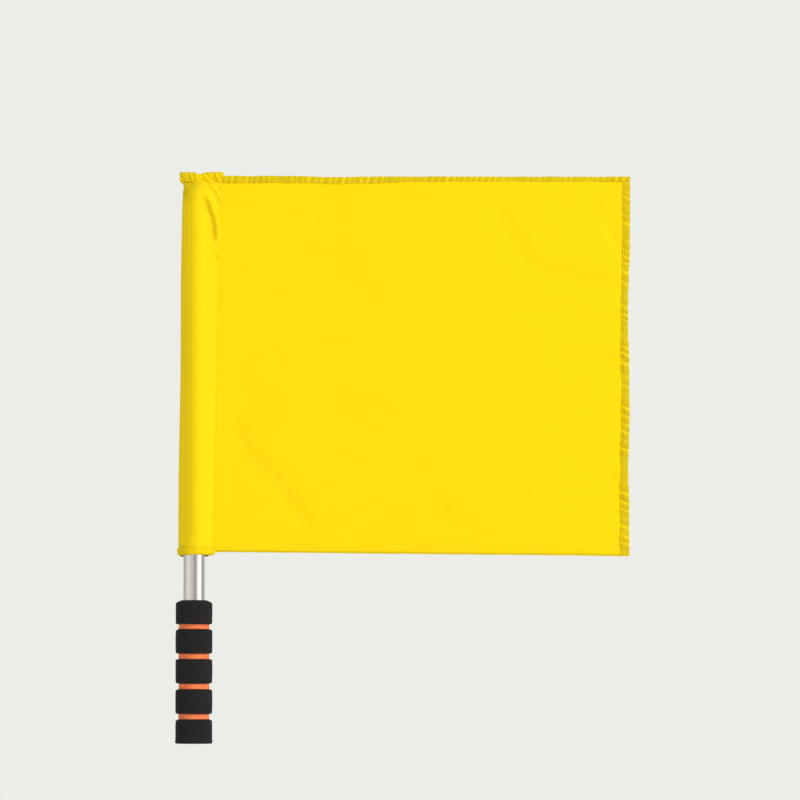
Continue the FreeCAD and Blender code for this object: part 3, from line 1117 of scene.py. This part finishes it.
topStitches, bottomStitches, flyStitches, seamStitches, closingStitches = laid


def hemRing():
    # round the sleeve at the top of its hem, from one lip to the other
    height = sleeveShape["foot"] + sleeveShape["hem"]
    points = []
    for column in range(3, sleeveColumns - 2):
        point = sleevePoint(column, height, -sleeveShape["thickness"] / 2)
        point.z += footLift(point)
        points.append(point)
    run, spare = [], 0.0
    for before, after in zip(points, points[1:]):
        gap = (after - before).length
        while spare < gap:
            point = before.lerp(after, spare / gap)
            direction = (after - before).normalized()
            run.append((point, Vector((direction.y, -direction.x, 0)).normalized()))
            spare += stitch["pitch"]
        spare -= gap
    return run


ringStitches = layStitches("sleeveHemStitches", "sleeve_bottom_thread", [hemRing()])
deselectAll()
bpy.data.objects.remove(stitchModel)
print("stitches ready")


# What moves with what. The panel, and the hems that reach the seam, are baked in place where they lie.
for piece in (panelCloth, topHem, bottomHem):
    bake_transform(piece)
for piece in (flyHem, topStitches, bottomStitches, flyStitches):
    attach(piece, "panel")
for piece in (sleeveCloth, closingBand, seamStitches, closingStitches, ringStitches):
    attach(piece, "sleeve")
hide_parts("flag_sleeve")
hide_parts("flag_panel")


# Studio: pale floor well below, soft key light from the front right, even pale surroundings.
studio = {
    "floorDrop": 0.30,
    "floorSize": 24.0,
    "floorFrom": 0.8,       # the floor goes over into the backdrop between these distances
    "floorTo": 4.0,
    "sideLight": 0.55,      # the surroundings' brightness at and below the horizon
    "skyLight": 0.60,       # and overhead
    "backdrop": linearColour("ECEDE8"),
    "middle": Vector((0.206, 0, 0.343)),
}


def floorMaterial():
    # Pale painted studio floor, matt, that goes over into the even backdrop some way off.
    material, tree, shader = newMaterial("palePaintedFloor", {
        "Base Color": linearColour("F2F3EE"), "Roughness": 0.9, "Specular IOR Level": 0.1,
    })
    place = addNode(tree, "TexCoord").outputs["Object"]
    away = addNode(tree, "VectorMath", {0: place}, operation="LENGTH").outputs["Value"]
    share = addNode(
        tree, "MapRange",
        {"Value": away, "From Min": studio["floorFrom"], "From Max": studio["floorTo"]},
        interpolation_type="SMOOTHSTEP",
    )
    far = addNode(tree, "Emission", {"Color": studio["backdrop"], "Strength": 1.0})
    output = tree.nodes["Material Output"]
    addNode(tree, "MixShader", {0: share, 1: shader, 2: far}, output.inputs["Surface"])
    return material


deselectAll()
bpy.ops.mesh.primitive_plane_add(size=studio["floorSize"], location=(0.2, 0, -studio["floorDrop"]))
floor = bpy.context.object
floor.name = "paleFloor"
floor.data.materials.append(floorMaterial())

# azimuth to the right of the camera's side and height in degrees, distance, width and height in
# metres, then brightness. The cards only show as reflections in the steel tube.
softboxes = [
    ("keySoftbox", 45, 28, 9.0, 2.9, 4.7, 10.7, "DIFFUSE"),
    ("backSoftbox", 160, 35, 6.0, 2.4, 2.4, 5.0, "DIFFUSE"),
    ("rightCard", 58, 2, 4.0, 4.3, 2.2, 0.82, "GLOSSY"),
    ("rightStripCard", 62, 2, 3.5, 1.6, 2.2, 0.55, "GLOSSY"),
    ("leftCard", -57, 2, 4.0, 8.3, 2.2, 0.33, "GLOSSY"),
    ("leftStripCard", -62, 2, 3.5, 1.3, 2.2, 0.30, "GLOSSY"),
    ("backCard", 180, 2, 4.0, 11.0, 2.2, 0.32, "GLOSSY"),
]
for name, azimuth, height, distance, width, tall, brightness, reach in softboxes:
    light = bpy.data.lights.new(name, "AREA")
    light.shape = "RECTANGLE"
    light.size, light.size_y = width, tall
    light.energy = brightness * math.pi * width * tall
    lamp = bpy.data.objects.new(name, light)
    scene.collection.objects.link(lamp)
    a, h = math.radians(azimuth), math.radians(height)
    offset = Vector((math.sin(a) * math.cos(h), -math.cos(a) * math.cos(h), math.sin(h)))
    lamp.location = studio["middle"] + offset * distance
    lamp.rotation_euler = (-offset).to_track_quat("-Z", "Y").to_euler()
    lamp.visible_camera = False
    lamp.visible_glossy = reach == "GLOSSY"
    lamp.visible_diffuse = reach == "DIFFUSE"

world = bpy.data.worlds.new("paleStudio")
scene.world = world
world.use_nodes = True
tree = world.node_tree
tree.nodes.clear()
place = addNode(tree, "TexCoord").outputs["Generated"]
height = addNode(tree, "SeparateXYZ", {"Vector": place}).outputs["Z"]
strength = addNode(tree, "MapRange", {
    "Value": height, "From Min": 0.0, "From Max": 1.0,
    "To Min": studio["sideLight"], "To Max": studio["skyLight"],
})
seen = addNode(tree, "Background", {"Color": studio["backdrop"], "Strength": 1.0})
lighting = addNode(tree, "Background", {
    "Color": linearColour("FFFFFF"), "Strength": strength,
})
ray = addNode(tree, "LightPath")
choose = addNode(tree, "MixShader", {
    0: ray.outputs["Is Camera Ray"], 1: lighting, 2: seen,
})
addNode(tree, "OutputWorld", {"Surface": choose})
scene.view_settings.view_transform = "Standard"

# Camera: square on to the flag and a touch from below, through a long lens.
cameraPlan = {"aim": Vector((0.2055, 0, 0.3429)), "distance": 5.0, "tilt": -3.0, "widthSeen": 0.8}
cameraData = bpy.data.cameras.new("camera")
cameraData.sensor_width = 36
cameraData.lens = cameraData.sensor_width * cameraPlan["distance"] / cameraPlan["widthSeen"]
camera = bpy.data.objects.new("camera", cameraData)
scene.collection.objects.link(camera)
tilt = math.radians(cameraPlan["tilt"])
back = Vector((0, -math.cos(tilt), math.sin(tilt)))
camera.location = cameraPlan["aim"] + back * cameraPlan["distance"]
camera.rotation_euler = (-back).to_track_quat("-Z", "Y").to_euler()
cameraData.clip_end = 100
scene.camera = camera
print("studio ready")
